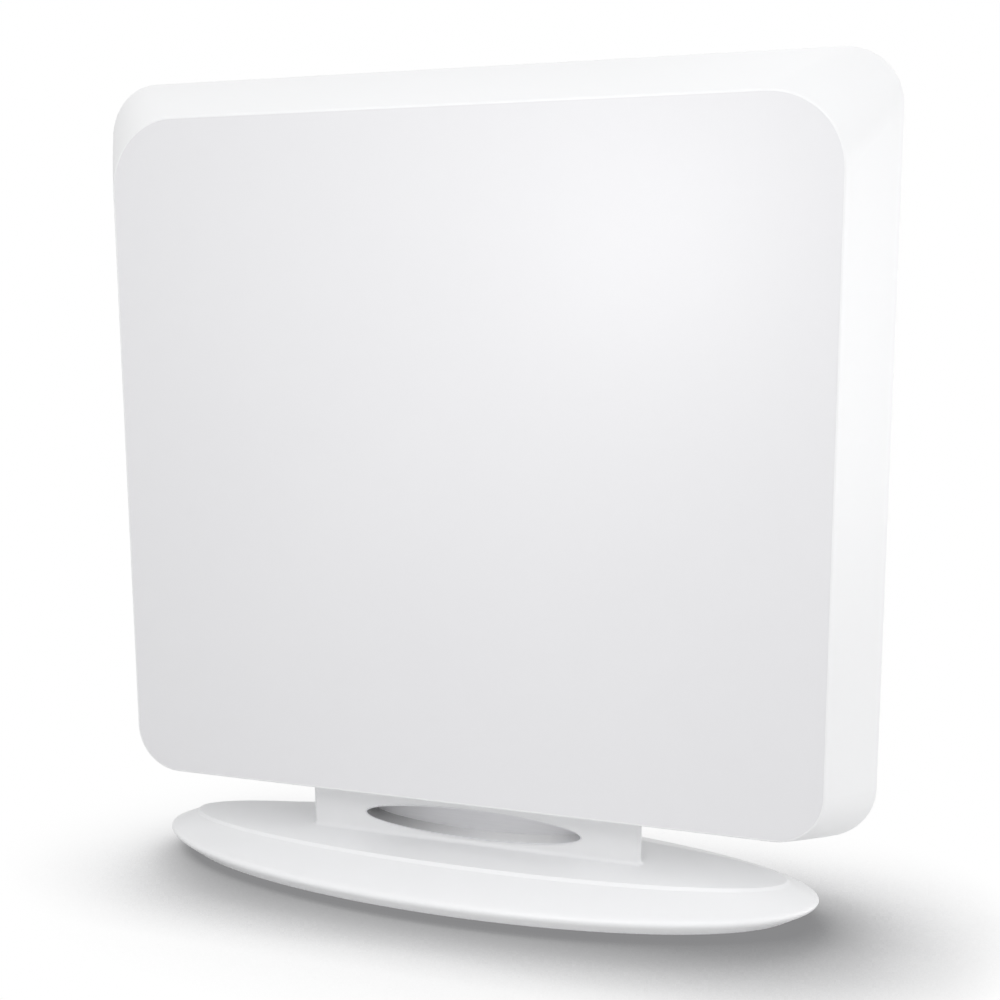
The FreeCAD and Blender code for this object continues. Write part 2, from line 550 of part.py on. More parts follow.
def rear_cover():
    body = sub_part("rear_cover")
    straight = "(sizes.cover_depth - sizes.cover_rounding * (1 - sin(sizes.cover_draft)))"
    taper = f"({straight} * tan(sizes.cover_draft))"
    front = cover_outline(body, "sizes.rim_depth", "0")
    shoulder = cover_outline(body, f"sizes.rim_depth + {straight}", taper)
    loft(body, "Additive", [front, shoulder], ruled=True)

    # The rounded rear edge, as outlines at even turns from the tapered side to the flat back
    rounding = []
    turns = 3
    for step in range(turns + 1):
        turn = f"(sizes.cover_draft + (90 - sizes.cover_draft) * {step} / {turns})"
        depth = f"{PANEL_DEPTH} - sizes.cover_rounding * (1 - sin({turn}))"
        inset = f"({taper} + sizes.cover_rounding * (cos(sizes.cover_draft) - cos({turn})))"
        rounding.append(cover_outline(body, depth, inset))
    loft(body, "Additive", rounding, ruled=False)
    mouth = cover_outline(body, "sizes.rim_depth", "sizes.shell_wall")
    waist = cover_outline(body, f"sizes.rim_depth + {straight}", f"({taper} + sizes.shell_wall)")
    floor = cover_outline(body, REAR_WALL, f"({taper} + sizes.cover_rounding)")
    loft(body, "Subtractive", [mouth, waist, floor], ruled=True)

    # Bosses for the case screws and the stand screws, and pads under the reflector
    for start, radius, places in (
        ("sizes.rim_depth", "sizes.boss_radius", CASE_SCREWS),
        (TONGUE_BACK, "sizes.boss_radius", STAND_SCREWS),
        (REFLECTOR_BACK, "sizes.boss_radius", list(POSTS.values())),
    ):
        bosses = sketch_at_depth(body, start)
        circles(bosses, radius, places)
        pad(body, bosses, f"{PANEL_DEPTH} - sizes.shell_wall / 2 - {start}", reverse=True)

    # Screw holes with wells for their heads, holes for the post spigots, and the socket's hole
    for start, radius, length, places in (
        ("sizes.rim_depth", SCREW_HOLE, PANEL_DEPTH, CASE_SCREWS),
        (CASE_SCREW_SEAT, HEAD_HOLE, PANEL_DEPTH, CASE_SCREWS),
        ("sizes.rim_depth", SCREW_HOLE, PANEL_DEPTH, STAND_SCREWS),
        (f"{TONGUE_BACK} + sizes.stand_screw_seat", HEAD_HOLE, PANEL_DEPTH, STAND_SCREWS),
        (REFLECTOR_BACK, POST_HOLE, "sizes.spigot_length + sizes.spigot_gap", list(POSTS.values())),
        (REFLECTOR_BACK, f"{SHANK} + sizes.socket_clearance", PANEL_DEPTH, [("0", SOCKET_Z)]),
    ):
        holes = sketch_at_depth(body, start)
        circles(holes, radius, places)
        pocket(body, holes, length)

    # The slot in the bottom wall for the stand's tongue
    slot = sketch_at_depth(body, f"{TONGUE_FRONT} - sizes.tongue_gap")
    half = "(sizes.tongue_width + sizes.tongue_gap)"
    slot_top = f"({NECK_TOP} + sizes.tongue_length + sizes.tongue_gap - {PANEL_Z})"
    rectangle(slot, f"-{half}", half, f"-{SEAT_RISE} - sizes.rim_flare_low - sizes.shell_wall", slot_top)
    pocket(body, slot, "sizes.tongue_thickness + sizes.tongue_gap")
    in_panel(body)


# Reflector: a flat metal sheet held against the cover's pads by the shoulders of the posts
def reflector_sheet():
    body = sub_part("reflector_sheet")
    sketch = sketch_at_depth(body, REFLECTOR_FRONT)
    corner = "sizes.reflector_corner"
    rounded_outline(sketch, REFLECTOR_SIDE, REFLECTOR_TOP, f"-{REFLECTOR_LOW}", corner, corner)
    pad(body, sketch, "sizes.reflector_thickness", reverse=True)
    holes = sketch_at_depth(body, REFLECTOR_FRONT)
    circles(holes, POST_HOLE, list(POSTS.values()))
    pocket(body, holes, "sizes.reflector_thickness")
    in_panel(body)


# Element posts: moulded insulators with a spigot at the rear and a screw hole at the front
def element_post(label, x, height):
    body = sub_part(label)
    tip = f"{REFLECTOR_BACK} + sizes.spigot_length"
    for start, end, radius in (
        (ELEMENT_BACK, REFLECTOR_FRONT, "sizes.post_radius"),
        (REFLECTOR_FRONT, tip, "sizes.spigot_radius"),
    ):
        sketch = sketch_at_depth(body, start)
        circles(sketch, radius, [("0", "0")])
        pad(body, sketch, f"{end} - {start}", reverse=True)
    pilot = sketch_at_depth(body, ELEMENT_BACK)
    circles(pilot, SCREW_HOLE, [("0", "0")])
    pocket(body, pilot, "sizes.element_screw_bite + sizes.screw_spare")
    in_panel(body, x, "0", height)


# Elements: two flared metal plates, the halves of a bow tie
def element(label, hand):
    body = sub_part(label)
    sketch = sketch_at_depth(body, ELEMENT_FRONT)
    inner = f"{hand} * sizes.element_start"
    outer = f"{hand} * {ELEMENT_REACH}"
    outline = [
        (inner, f"{ELEMENT_MIDDLE} - sizes.element_tip"),
        (outer, f"{ELEMENT_MIDDLE} - {ELEMENT_END}"),
        (outer, f"{ELEMENT_MIDDLE} + {ELEMENT_END}"),
        (inner, f"{ELEMENT_MIDDLE} + sizes.element_tip"),
    ]
    polygon(sketch, outline)
    pad(body, sketch, "sizes.element_thickness", reverse=True)
    side_name = label.split("_")[0]
    places = [where for name, where in POSTS.items() if name.startswith(side_name)]
    holes = sketch_at_depth(body, ELEMENT_FRONT)
    circles(holes, SCREW_HOLE, places)
    pocket(body, holes, "sizes.element_thickness")
    in_panel(body)


# Feed board: a circuit board across the inner tips of the elements
def feed_board():
    body = sub_part("feed_board")
    sketch = sketch_at_depth(body, BOARD_FRONT)
    rectangle(sketch, "-sizes.board_width / 2", "sizes.board_width / 2",
              f"{ELEMENT_MIDDLE} - sizes.board_height / 2", f"{ELEMENT_MIDDLE} + sizes.board_height / 2")
    pad(body, sketch, "sizes.board_thickness", reverse=True)
    holes = sketch_at_depth(body, BOARD_FRONT)
    circles(holes, SCREW_HOLE, list(INNER_POSTS.values()))
    pocket(body, holes, "sizes.board_thickness")
    in_panel(body)


# Transformer core: a ferrite block with two upright holes, glued to the board
def balun_core():
    body = sub_part("balun_core")
    sketch = sketch_at_height(body, f"{ELEMENT_MIDDLE} - sizes.core_height / 2")
    rectangle(sketch, "-sizes.core_width / 2", "sizes.core_width / 2",
              f"{BOARD_FRONT} - sizes.core_depth", BOARD_FRONT)
    pad(body, sketch, "sizes.core_height")
    middle = f"{BOARD_FRONT} - sizes.core_depth / 2"
    holes = sketch_at_height(body, f"{ELEMENT_MIDDLE} + sizes.core_height / 2")
    circles(holes, "sizes.core_bore", [(f"{hand} * sizes.core_pitch / 2", middle) for hand in (-1, 1)])
    pocket(body, holes, "sizes.core_height")
    in_panel(body)


# Lead: a thin coaxial cable from the back of the board down to the tail of the socket
def coax_lead():
    body = sub_part("coax_lead")
    depth = f"({ELEMENT_FRONT} + sizes.lead_radius + sizes.lead_gap)"
    start = f"({ELEMENT_MIDDLE} + sizes.lead_overlap)"
    level = SOCKET_Z
    tail = f"({REAR_WALL} - sizes.flange_thickness - sizes.socket_tail)"
    bend = "sizes.lead_bend"
    path = sketch_on(body, "YZ_Plane", "0")
    upper = FreeCAD.Vector(value(depth), value(start), 0)
    bend_top = FreeCAD.Vector(value(depth), value(f"{level} + {bend}"), 0)
    bend_back = FreeCAD.Vector(value(f"{depth} + {bend}"), value(level), 0)
    centre = FreeCAD.Vector(bend_back.x, bend_top.y, 0)
    halfway = centre + (bend_top - centre + bend_back - centre).normalize() * value(bend)
    path.addGeometry(Part.LineSegment(upper, bend_top))
    path.addGeometry(Part.Arc(bend_top, halfway, bend_back))
    path.addGeometry(Part.LineSegment(bend_back, FreeCAD.Vector(value(tail), value(level), 0)))
    arc_start = 1 if path.getPoint(1, 1).distanceToPoint(bend_top) < SAME_PLACE else 2
    path.addConstraint(Sketcher.Constraint("Tangent", 0, 2, 1, arc_start))
    path.addConstraint(Sketcher.Constraint("Tangent", 1, 3 - arc_start, 2, 1))
    path.addConstraint(Sketcher.Constraint("Vertical", 0))
    path.addConstraint(Sketcher.Constraint("Horizontal", 2))
    dimension(path, "Radius", 1, size=bend)
    pin_point(path, 0, 1, depth, start)
    pin_point(path, 2, 2, tail, level)
    section = sketch_at_height(body, start)
    circles(section, "sizes.lead_radius", [("0", depth)])
    pipe = body.newObject("PartDesign::AdditivePipe", "pipe")
    pipe.Profile = section
    pipe.Spine = (path, ["Edge1", "Edge2", "Edge3"])
    in_panel(body)


# Socket: a turned body, held by a flange inside the wall and a nut outside, and its inner pieces
def hexagon(sketch, half_flat):
    """A six-sided outline, by half its width across the flats."""
    point = f"({half_flat}) * 2 / sqrt(3)"
    rise = f"({half_flat}) / sqrt(3)"
    polygon(sketch, [
        ("0", f"-{point}"), (half_flat, f"-{rise}"), (half_flat, rise),
        ("0", point), (f"-({half_flat})", rise), (f"-({half_flat})", f"-{rise}"),
    ])


def turned(label, steps, bore):
    """A piece on the socket's axis: steps (outline, start, end, size), and a bore (start, end, radius)."""
    body = sub_part(label)
    for outline, start, end, size in steps:
        sketch = sketch_at_depth(body, start)
        outline(sketch, size)
        pad(body, sketch, f"{end} - {start}", reverse=True)
    start, end, radius = bore
    sketch = sketch_at_depth(body, start)
    round_outline(sketch, radius)
    pocket(body, sketch, f"{end} - {start}")
    in_panel(body, "0", "0", SOCKET_Z)


def round_outline(sketch, radius):
    circles(sketch, radius, [("0", "0")])


def socket():
    flange = f"({REAR_WALL} - sizes.flange_thickness)"
    tail = f"({flange} - sizes.socket_tail)"
    tip = f"({PANEL_DEPTH} + sizes.socket_reach)"
    bore_start = f"({tail} + sizes.socket_end)"
    bore = "(sizes.socket_radius - sizes.socket_wall)"
    washer_back = f"({PANEL_DEPTH} + sizes.washer_thickness)"
    nut_back = f"({washer_back} + sizes.nut_thickness)"
    shank_end = f"({nut_back} + sizes.shank_proud)"
    groove_end = f"({shank_end} + sizes.groove_width)"
    steps = [
        (round_outline, tail, shank_end, SHANK),
        (hexagon, flange, REAR_WALL, f"{SHANK} + sizes.flange_ledge"),
        (round_outline, shank_end, groove_end, "sizes.socket_radius - sizes.groove_depth"),
        (round_outline, groove_end, tip, "sizes.socket_radius"),
    ]
    turned("socket_body", steps, (bore_start, tip, bore))

    contact = "(sizes.contact_bore + sizes.contact_wall)"
    sleeve = (round_outline, bore_start, f"{tip} - sizes.insulator_setback", f"{bore} - sizes.insulator_gap")
    turned("socket_insulator", [sleeve], (bore_start, tip, f"{contact} + sizes.insulator_gap"))
    tube = (round_outline, bore_start, f"{tip} - sizes.contact_setback", contact)
    turned("socket_contact", [tube], (f"{bore_start} + sizes.socket_end", tip, "sizes.contact_bore"))

    ring = (round_outline, PANEL_DEPTH, washer_back, f"{SHANK} + sizes.washer_ledge")
    turned("socket_washer", [ring], (PANEL_DEPTH, washer_back, f"{SHANK} + sizes.socket_clearance"))
    nut = (hexagon, washer_back, nut_back, f"{SHANK} + sizes.nut_wall")
    turned("socket_nut", [nut], (washer_back, nut_back, f"{SHANK} + sizes.nut_gap"))


# Stand: foot, neck and tongue in one moulding
def slope_inset(run):
    """How far in a sloped wall's inner outline lies, for the wall's thickness across the slope."""
    return f"sizes.foot_wall * sqrt(1 + pow({run} / sizes.foot_rise; 2))"


def edge_outline(body, below, above):
    """An outline of the foot's rounded edge, by shares of the skirt below it and of the shoulder above it."""
    skirt = f"sizes.foot_skirt * {below}"
    shoulder = f"sizes.foot_shoulder * {above}"
    slope_rise = "(sizes.foot_rise - sizes.top_bevel_drop)"
    end = f"({skirt} * sizes.tray_end / sizes.tray_height + {shoulder} * sizes.foot_end / {slope_rise})"
    side = f"({skirt} * sizes.tray_side / sizes.tray_height + {shoulder} * sizes.foot_side / {slope_rise})"
    sketch = sketch_at_height(body, f"{FOOT_EDGE} + {shoulder} - {skirt}")
    ellipse(sketch, f"{FOOT_LENGTH} - {end}", f"{FOOT_BREADTH} - {side}")
    return sketch


def stand_body():
    body = sub_part("stand_body")
    # A parabola rounds the widest edge: its middle lies a quarter of the way from the sharp edge to each end
    rounding = []
    for below, above in (("1", "0"), ("0.25", "0.25"), ("0", "1")):
        rounding.append(edge_outline(body, below, above))
    loft(body, "Additive", rounding, ruled=False)
    shoulder = edge_outline(body, "0", "1")
    ridge = sketch_at_height(body, f"{FOOT_TOP} - sizes.top_bevel_drop")
    ellipse(ridge, "sizes.top_length", TOP_BREADTH)
    top = sketch_at_height(body, FOOT_TOP)
    ellipse(top, FLAT_LENGTH, FLAT_BREADTH)
    loft(body, "Additive", [shoulder, ridge, top], ruled=True)

    # The neck, narrower at its back, rounded along its upright edges and where it meets the foot
    neck = sketch_at_height(body, f"{FOOT_TOP} - sizes.foot_wall")
    polygon(neck, [("-sizes.neck_width", NECK_FRONT), ("sizes.neck_width", NECK_FRONT),
                   (NECK_REAR_WIDTH, NECK_BACK), (f"-{NECK_REAR_WIDTH}", NECK_BACK)])
    column = pad(body, neck, f"{NECK_TOP} - {FOOT_TOP} + sizes.foot_wall")
    corners = []
    for half_width, y in (("sizes.neck_width", NECK_FRONT), (NECK_REAR_WIDTH, NECK_BACK)):
        corners += [(hand * value(half_width), value(y)) for hand in (-1, 1)]

    def upright(line):
        box = line.BoundBox
        at_corner = any(abs(box.XMin - x) + abs(box.YMin - y) < SAME_PLACE for x, y in corners)
        return at_corner and box.XLength < SAME_PLACE and box.YLength < SAME_PLACE

    rounded = fillet(body, column, "sizes.neck_edge", upright)

    def neck_root(line):
        box = line.BoundBox
        across = abs(box.Center.x) <= value("sizes.neck_width")
        behind_front = box.YMin >= value(NECK_FRONT) - SAME_PLACE
        before_back = box.YMax <= value(NECK_BACK) + SAME_PLACE
        return level_edge("Z", value(FOOT_TOP))(line) and across and behind_front and before_back

    fillet(body, rounded, "sizes.top_shelf - sizes.shelf_edge", neck_root)

    # The hollow of the foot, and the hollows of the neck beside and behind the oval recess
    mouth = sketch_at_height(body, FOOT_PARTING)
    ellipse(mouth, f"{TRAY_LENGTH} - sizes.foot_wall", f"{TRAY_BREADTH} - sizes.foot_wall")
    pocket(body, mouth, "sizes.foot_skirt", reverse=True)
    roof_share = "sizes.foot_wall / sizes.foot_rise"
    hollow = []
    for height, share in ((FOOT_EDGE, "1"), (f"{FOOT_TOP} - sizes.foot_wall", roof_share)):
        sketch = sketch_at_height(body, height)
        ellipse(sketch, f"sizes.top_length + sizes.foot_end * ({share}) - {slope_inset('sizes.foot_end')}",
                f"{TOP_BREADTH} + sizes.foot_side * ({share}) - {slope_inset('sizes.foot_side')}")
        hollow.append(sketch)
    loft(body, "Subtractive", hollow, ruled=True)
    inside = f"({NECK_REAR_WIDTH} - sizes.neck_wall)"
    back = f"{NECK_BACK} - sizes.neck_wall"
    beside = f"({OVAL_LENGTH} + sizes.neck_wall)"
    behind = f"{NECK_FRONT} + sizes.oval_depth + sizes.neck_wall"
    cores = sketch_at_height(body, f"{FOOT_TOP} - sizes.foot_wall")
    rectangle(cores, f"-{inside}", f"-{beside}", f"{NECK_FRONT} + sizes.neck_wall", back)
    rectangle(cores, beside, inside, f"{NECK_FRONT} + sizes.neck_wall", back)
    rectangle(cores, f"-{OVAL_LENGTH}", OVAL_LENGTH, behind, back)
    pocket(body, cores, f"{NECK_TOP} - {FOOT_TOP} + sizes.foot_wall - sizes.neck_wall", reverse=True)
    oval = sketch_at_depth(body, NECK_FRONT)
    ellipse(oval, OVAL_LENGTH, OVAL_RISE, "0", OVAL_Z)
    pocket(body, oval, "sizes.oval_depth")

    # The tongue that holds the panel, with its screw holes
    tongue = sketch_at_height(body, NECK_TOP)
    rectangle(tongue, "-sizes.tongue_width", "sizes.tongue_width",
              f"{PANEL_Y} + {TONGUE_FRONT}", f"{PANEL_Y} + {TONGUE_BACK}")
    pad(body, tongue, "sizes.tongue_length")
    pilots = sketch_at_depth(body, f"{PANEL_Y} + {TONGUE_BACK}")
    circles(pilots, SCREW_HOLE, [(f"{hand} * sizes.stand_screw_x", STAND_SCREW_Z) for hand in (-1, 1)])
    pocket(body, pilots, f"{STAND_SCREW_BITE} + sizes.screw_spare", reverse=True)

    # Bosses for the base screws, and ribs below the neck's side walls that hold the ballast down
    boss_end = f"(sizes.pad_height + {BASE_POST})"
    root = f"({FOOT_TOP} - sizes.foot_wall / 2)"
    bosses = sketch_at_height(body, boss_end)
    circles(bosses, "sizes.base_boss_radius", BASE_SCREWS)
    pad(body, bosses, f"{root} - {boss_end}")
    holes = sketch_at_height(body, boss_end)
    circles(holes, SCREW_HOLE, BASE_SCREWS)
    pocket(body, holes, f"{FOOT_TOP} - sizes.foot_wall - {boss_end}", reverse=True)
    ballast_top = f"({TRAY_FLOOR} + sizes.ballast_thickness)"
    ribs = sketch_at_height(body, ballast_top)
    for near, far in ((inside, NECK_REAR_WIDTH), (f"-{NECK_REAR_WIDTH}", f"-{inside}")):
        rectangle(ribs, near, far, "-sizes.ballast_rib_breadth", "sizes.ballast_rib_breadth")
    pad(body, ribs, f"{root} - {ballast_top}")


# Oval trim: a shallow metal cup in the recess on the front of the neck
def oval_trim():
    body = sub_part("oval_trim")
    front = f"({NECK_FRONT} + sizes.oval_gap)"
    outline = sketch_at_depth(body, front)
    ellipse(outline, f"{OVAL_LENGTH} - sizes.oval_gap", f"{OVAL_RISE} - sizes.oval_gap", "0", OVAL_Z)
    pad(body, outline, "sizes.oval_depth - sizes.oval_gap", reverse=True)
    hollow = sketch_at_depth(body, front)
    inset = "(sizes.oval_gap + sizes.trim_wall)"
    ellipse(hollow, f"{OVAL_LENGTH} - {inset}", f"{OVAL_RISE} - {inset}", "0", OVAL_Z)
    pocket(body, hollow, "sizes.oval_depth - sizes.oval_gap - sizes.trim_floor")


# Base tray: the underside of the foot, which carries the ballast and the pads
def base_tray():
    body = sub_part("base_tray")
    bottom = sketch_at_height(body, "sizes.pad_height")
    ellipse(bottom, TRAY_LENGTH, TRAY_BREADTH)
    loft(body, "Additive", [bottom, edge_outline(body, "1", "0")], ruled=True)
    hollow = sketch_at_height(body, FOOT_PARTING)
    ellipse(hollow, f"{TRAY_LENGTH} - sizes.foot_wall", f"{TRAY_BREADTH} - sizes.foot_wall")
    pocket(body, hollow, f"{FOOT_PARTING} - {TRAY_FLOOR}")
    posts = sketch_at_height(body, "sizes.pad_height")
    circles(posts, "sizes.base_boss_radius", BASE_SCREWS)
    pad(body, posts, BASE_POST)
    for radius, depth, places in (
        (SCREW_HOLE, BASE_POST, BASE_SCREWS),
        (HEAD_HOLE, BASE_HEAD_DEPTH, BASE_SCREWS),
        ("sizes.pad_radius + sizes.pad_gap", "sizes.pad_seat", list(PAD_PLACES.values())),
    ):
        holes = sketch_at_height(body, "sizes.pad_height")
        circles(holes, radius, places)
        pocket(body, holes, depth, reverse=True)


# Ballast: a steel plate on the floor of the tray
def ballast_plate():
    body = sub_part("ballast_plate")
    sketch = sketch_at_height(body, TRAY_FLOOR)
    length = f"{BASE_SCREW_X} - sizes.base_boss_radius - sizes.ballast_end"
    breadth = f"{TRAY_BREADTH} - sizes.ballast_side"
    rounded_outline(sketch, length, breadth, breadth, "sizes.ballast_corner", "sizes.ballast_corner")
    pad(body, sketch, "sizes.ballast_thickness")


# Rubber pads: discs pressed into seats under the tray
def rubber_pad(label, x, y):
    body = sub_part(label)
    sketch = sketch_at_height(body, "0")
    circles(sketch, "sizes.pad_radius", [("0", "0")])
    disc = pad(body, sketch, "sizes.pad_height + sizes.pad_seat")
    fillet(body, disc, "sizes.pad_rounding", level_edge("Z", 0))
    place(body, x, y, "0")


# Screws: a round head with a cross recess, on a plain shank that points along +Z from under the head
def screw_pattern(name, length):
    body = new_body(name)
    head = sketch_at_height(body, "-sizes.screw_head_height")
    circles(head, "sizes.screw_head_radius", [("0", "0")])
    pad(body, head, "sizes.screw_head_height")
    shank = sketch_at_height(body, "0")
    circles(shank, "sizes.screw_radius", [("0", "0")])
    pad(body, shank, length)
    cross = sketch_at_height(body, "-sizes.screw_head_height")
    reach = "(sizes.screw_head_radius - sizes.screw_cross_margin)"
    bar = "(sizes.screw_cross / 2)"
    corners = []
    for turn in range(4):
        for along, across in ((reach, f"-{bar}"), (reach, bar), (bar, bar)):
            x, y = along, across
            for _ in range(turn):
                x, y = f"-({y})", x
            corners.append((x, y))
    polygon(cross, corners)
    pocket(body, cross, "sizes.screw_recess", reverse=True)
    return body


def screw_group(label, pattern, places, rotation):
    """Copies of one screw, each with the face under its head at a place (x, y, z)."""
    copies = []
    for x, y, z in places:
        copy = doc.addObject("App::Link", "screw")
        copy.LinkedObject = pattern
        place(copy, x, y, z, rotation)
        copies.append(copy)
    group = doc.addObject("Part::Compound", label)
    group.Label = label
    group.Links = copies
    finished.append(group)


def panel_places(places, depth):
    return [(x, f"{PANEL_Y} + {depth}", f"{PANEL_Z} + {height}") for x, height in places]


def screws():
    case = screw_pattern("case_screw", "sizes.case_screw_seat + sizes.case_screw_bite")
    screw_group("case_screws", case, panel_places(CASE_SCREWS, CASE_SCREW_SEAT), FORWARDS)
    stand = screw_pattern("stand_screw", f"sizes.stand_screw_seat + {STAND_SCREW_BITE}")
    seat = f"{TONGUE_BACK} + sizes.stand_screw_seat"
    screw_group("stand_screws", stand, panel_places(STAND_SCREWS, seat), FORWARDS)
    plain = screw_pattern("element_screw", "sizes.element_thickness + sizes.element_screw_bite")
    screw_group("element_screws", plain, panel_places(OUTER_POSTS.values(), ELEMENT_FRONT), BACKWARDS)
    feed_length = "sizes.board_thickness + sizes.element_thickness + sizes.element_screw_bite"
    feed = screw_pattern("feed_screw", feed_length)
    screw_group("feed_screws", feed, panel_places(INNER_POSTS.values(), BOARD_FRONT), BACKWARDS)
    base_seat = f"(sizes.pad_height + {BASE_HEAD_DEPTH})"
    base = screw_pattern("base_screw", f"{FOOT_TOP} - sizes.foot_wall - sizes.screw_spare - {base_seat}")
    screw_group("base_screws", base, [(x, y, base_seat) for x, y in BASE_SCREWS], UPWARDS)


front_panel()
bezel_frame()
rear_cover()
reflector_sheet()
for post_label, (post_x, post_height) in POSTS.items():
    element_post(post_label, post_x, post_height)
element("left_element", -1)
element("right_element", 1)
feed_board()
balun_core()
coax_lead()
socket()
stand_body()
oval_trim()
base_tray()
ballast_plate()
for pad_label, (pad_across, pad_along) in PAD_PLACES.items():
    rubber_pad(pad_label, pad_across, pad_along)
screws()
doc.recompute()

# Every object is sound before anything is written
for item in doc.Objects:
    if "Invalid" in item.State or "Error" in item.State:
        raise RuntimeError(f"{item.Label} failed: {item.State}")
for item in finished:
    if item.Shape.isNull() or not item.Shape.isValid():
        raise RuntimeError(f"{item.Label} has no sound shape")
    if item.TypeId == "PartDesign::Body" and len(item.Shape.Solids) != 1:
        raise RuntimeError(f"{item.Label} is not one solid")

os.makedirs("parts", exist_ok=True)
for item in finished:
    item.Shape.exportStep(f"parts/{item.Label}.step")
    print(item.Label, len(item.Shape.Solids), "solids", round(item.Shape.Volume, 1), "mm3")
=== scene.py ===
import bpy
import math
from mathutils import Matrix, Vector


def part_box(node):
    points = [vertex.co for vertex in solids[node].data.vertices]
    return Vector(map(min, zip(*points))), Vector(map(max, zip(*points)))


# A flat panel television antenna on an oval foot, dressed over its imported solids.
# Metres, +Z up; the panel's face looks along -Y.
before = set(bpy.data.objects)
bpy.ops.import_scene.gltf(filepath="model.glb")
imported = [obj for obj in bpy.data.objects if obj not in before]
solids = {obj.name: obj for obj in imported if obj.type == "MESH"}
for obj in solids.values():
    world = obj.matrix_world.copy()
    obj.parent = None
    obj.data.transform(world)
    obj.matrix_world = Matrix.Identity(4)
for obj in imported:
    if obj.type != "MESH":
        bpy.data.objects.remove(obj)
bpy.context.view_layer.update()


# Front plate: the flat face of the panel. A white moulding with a fine spark-eroded skin,
# pressed into the rim's recess and bonded to the ledge behind it.
class Shade:
    """A socket among a material's nodes. Sums with numbers or other shades add Math nodes."""

    def __init__(self, tree, socket=None):
        self.tree = tree
        self.socket = socket

    def node(self, kind, settings=(), inputs=(), output=0):
        """Add any node: its settings are set first, then its sockets are given values or links."""
        made = self.tree.nodes.new(kind)
        for name, setting in dict(settings).items():
            if name == "stops":
                ramp = made.color_ramp
                for index, (place, shade) in enumerate(setting):
                    stop = ramp.elements[index] if index < 2 else ramp.elements.new(place)
                    stop.position = place
                    stop.color = (*shade, 1)
            else:
                setattr(made, name, setting)
        for name, given in dict(inputs).items():
            if isinstance(given, Shade):
                self.tree.links.new(given.socket, made.inputs[name])
            else:
                made.inputs[name].default_value = given
        return Shade(self.tree, made.outputs[output] if made.outputs else None)

    def sum(self, operation, first, second):
        return self.node("ShaderNodeMath", {"operation": operation}, {0: first, 1: second})

    def __add__(self, other):
        return self.sum("ADD", self, other)

    def __radd__(self, other):
        return self.sum("ADD", other, self)

    def __sub__(self, other):
        return self.sum("SUBTRACT", self, other)

    def __rsub__(self, other):
        return self.sum("SUBTRACT", other, self)

    def __mul__(self, other):
        return self.sum("MULTIPLY", self, other)

    def __rmul__(self, other):
        return self.sum("MULTIPLY", other, self)

    def __truediv__(self, other):
        return self.sum("DIVIDE", self, other)

    def __rtruediv__(self, other):
        return self.sum("DIVIDE", other, self)


def new_finish(name):
    """An empty material, and the shade that adds nodes to it."""
    finish = bpy.data.materials.new(name)
    finish.use_nodes = True
    finish.node_tree.nodes.clear()
    return finish, Shade(finish.node_tree)


def surface(finish, shader):
    """Make a shader the surface of a finish."""
    shade = Shade(finish.node_tree)
    shade.node("ShaderNodeOutputMaterial", {}, {"Surface": shader})


def places(shade):
    """Where a point lies in the part's frame, in metres."""
    return shade.node("ShaderNodeTexCoord", {}, {}, "Object")


def along(shade, vector, axis):
    """One axis of a vector, as a number."""
    return shade.node("ShaderNodeSeparateXYZ", {}, {"Vector": vector}, axis)


def noise(shade, spots_per_metre, detail=2.0, stretch=(1, 1, 1)):
    """Soft random spots from 0 to 1, stretched along an axis where its share is below 1."""
    scaled = shade.node("ShaderNodeVectorMath", {"operation": "MULTIPLY"}, {0: places(shade), 1: stretch})
    inputs = {"Vector": scaled, "Scale": spots_per_metre, "Detail": detail}
    return shade.node("ShaderNodeTexNoise", {}, inputs)


def blend(shade, share, first, second):
    """Mix two colours. A Mix node keeps its colours in its seventh and eighth sockets."""
    inputs = {0: share, 6: (*first, 1), 7: (*second, 1)}
    return shade.node("ShaderNodeMix", {"data_type": "RGBA"}, inputs, 2)


def dress(finish, *names):
    """Give CAD nodes a finish."""
    for name in names:
        solids[name].data.materials.clear()
        solids[name].data.materials.append(finish)


def moulded(name, colour, shadow_colour, roughness, skin_depth):
    """White moulded plastic: cloudy colour, an uneven gloss and a fine eroded skin."""
    finish, shade = new_finish(name)
    cloud = noise(shade, spots_per_metre=14.0)
    skin = noise(shade, spots_per_metre=1900.0, detail=3.0)
    peel = noise(shade, spots_per_metre=160.0)
    bump = shade.node("ShaderNodeBump", {}, {
        "Strength": 0.35,
        "Distance": skin_depth,
        "Height": skin * 0.7 + peel * 0.6,
    })
    shader = shade.node("ShaderNodeBsdfPrincipled", {}, {
        "Base Color": blend(shade, cloud, shadow_colour, colour),
        "Roughness": roughness + (skin - 0.5) * 0.08 + (cloud - 0.5) * 0.05,
        "IOR": 1.49,
        "Normal": bump,
    })
    surface(finish, shader)
    return finish


face_white = moulded("face_white", colour=(0.828, 0.827, 0.842), shadow_colour=(0.812, 0.810, 0.828),
                     roughness=0.38, skin_depth=0.00003)
dress(face_white, "front_panel")

# Rim, rear cover, stand and base tray: white shells from the same resin, with a smoother polish.
# The rim and the cover are screwed together from behind; the stand's foot and tray from below.
shell_white = moulded("shell_white", colour=(0.925, 0.928, 0.935), shadow_colour=(0.910, 0.913, 0.922),
                      roughness=0.36, skin_depth=0.00002)
dress(shell_white, "bezel_frame", "rear_cover", "stand_body", "base_tray")

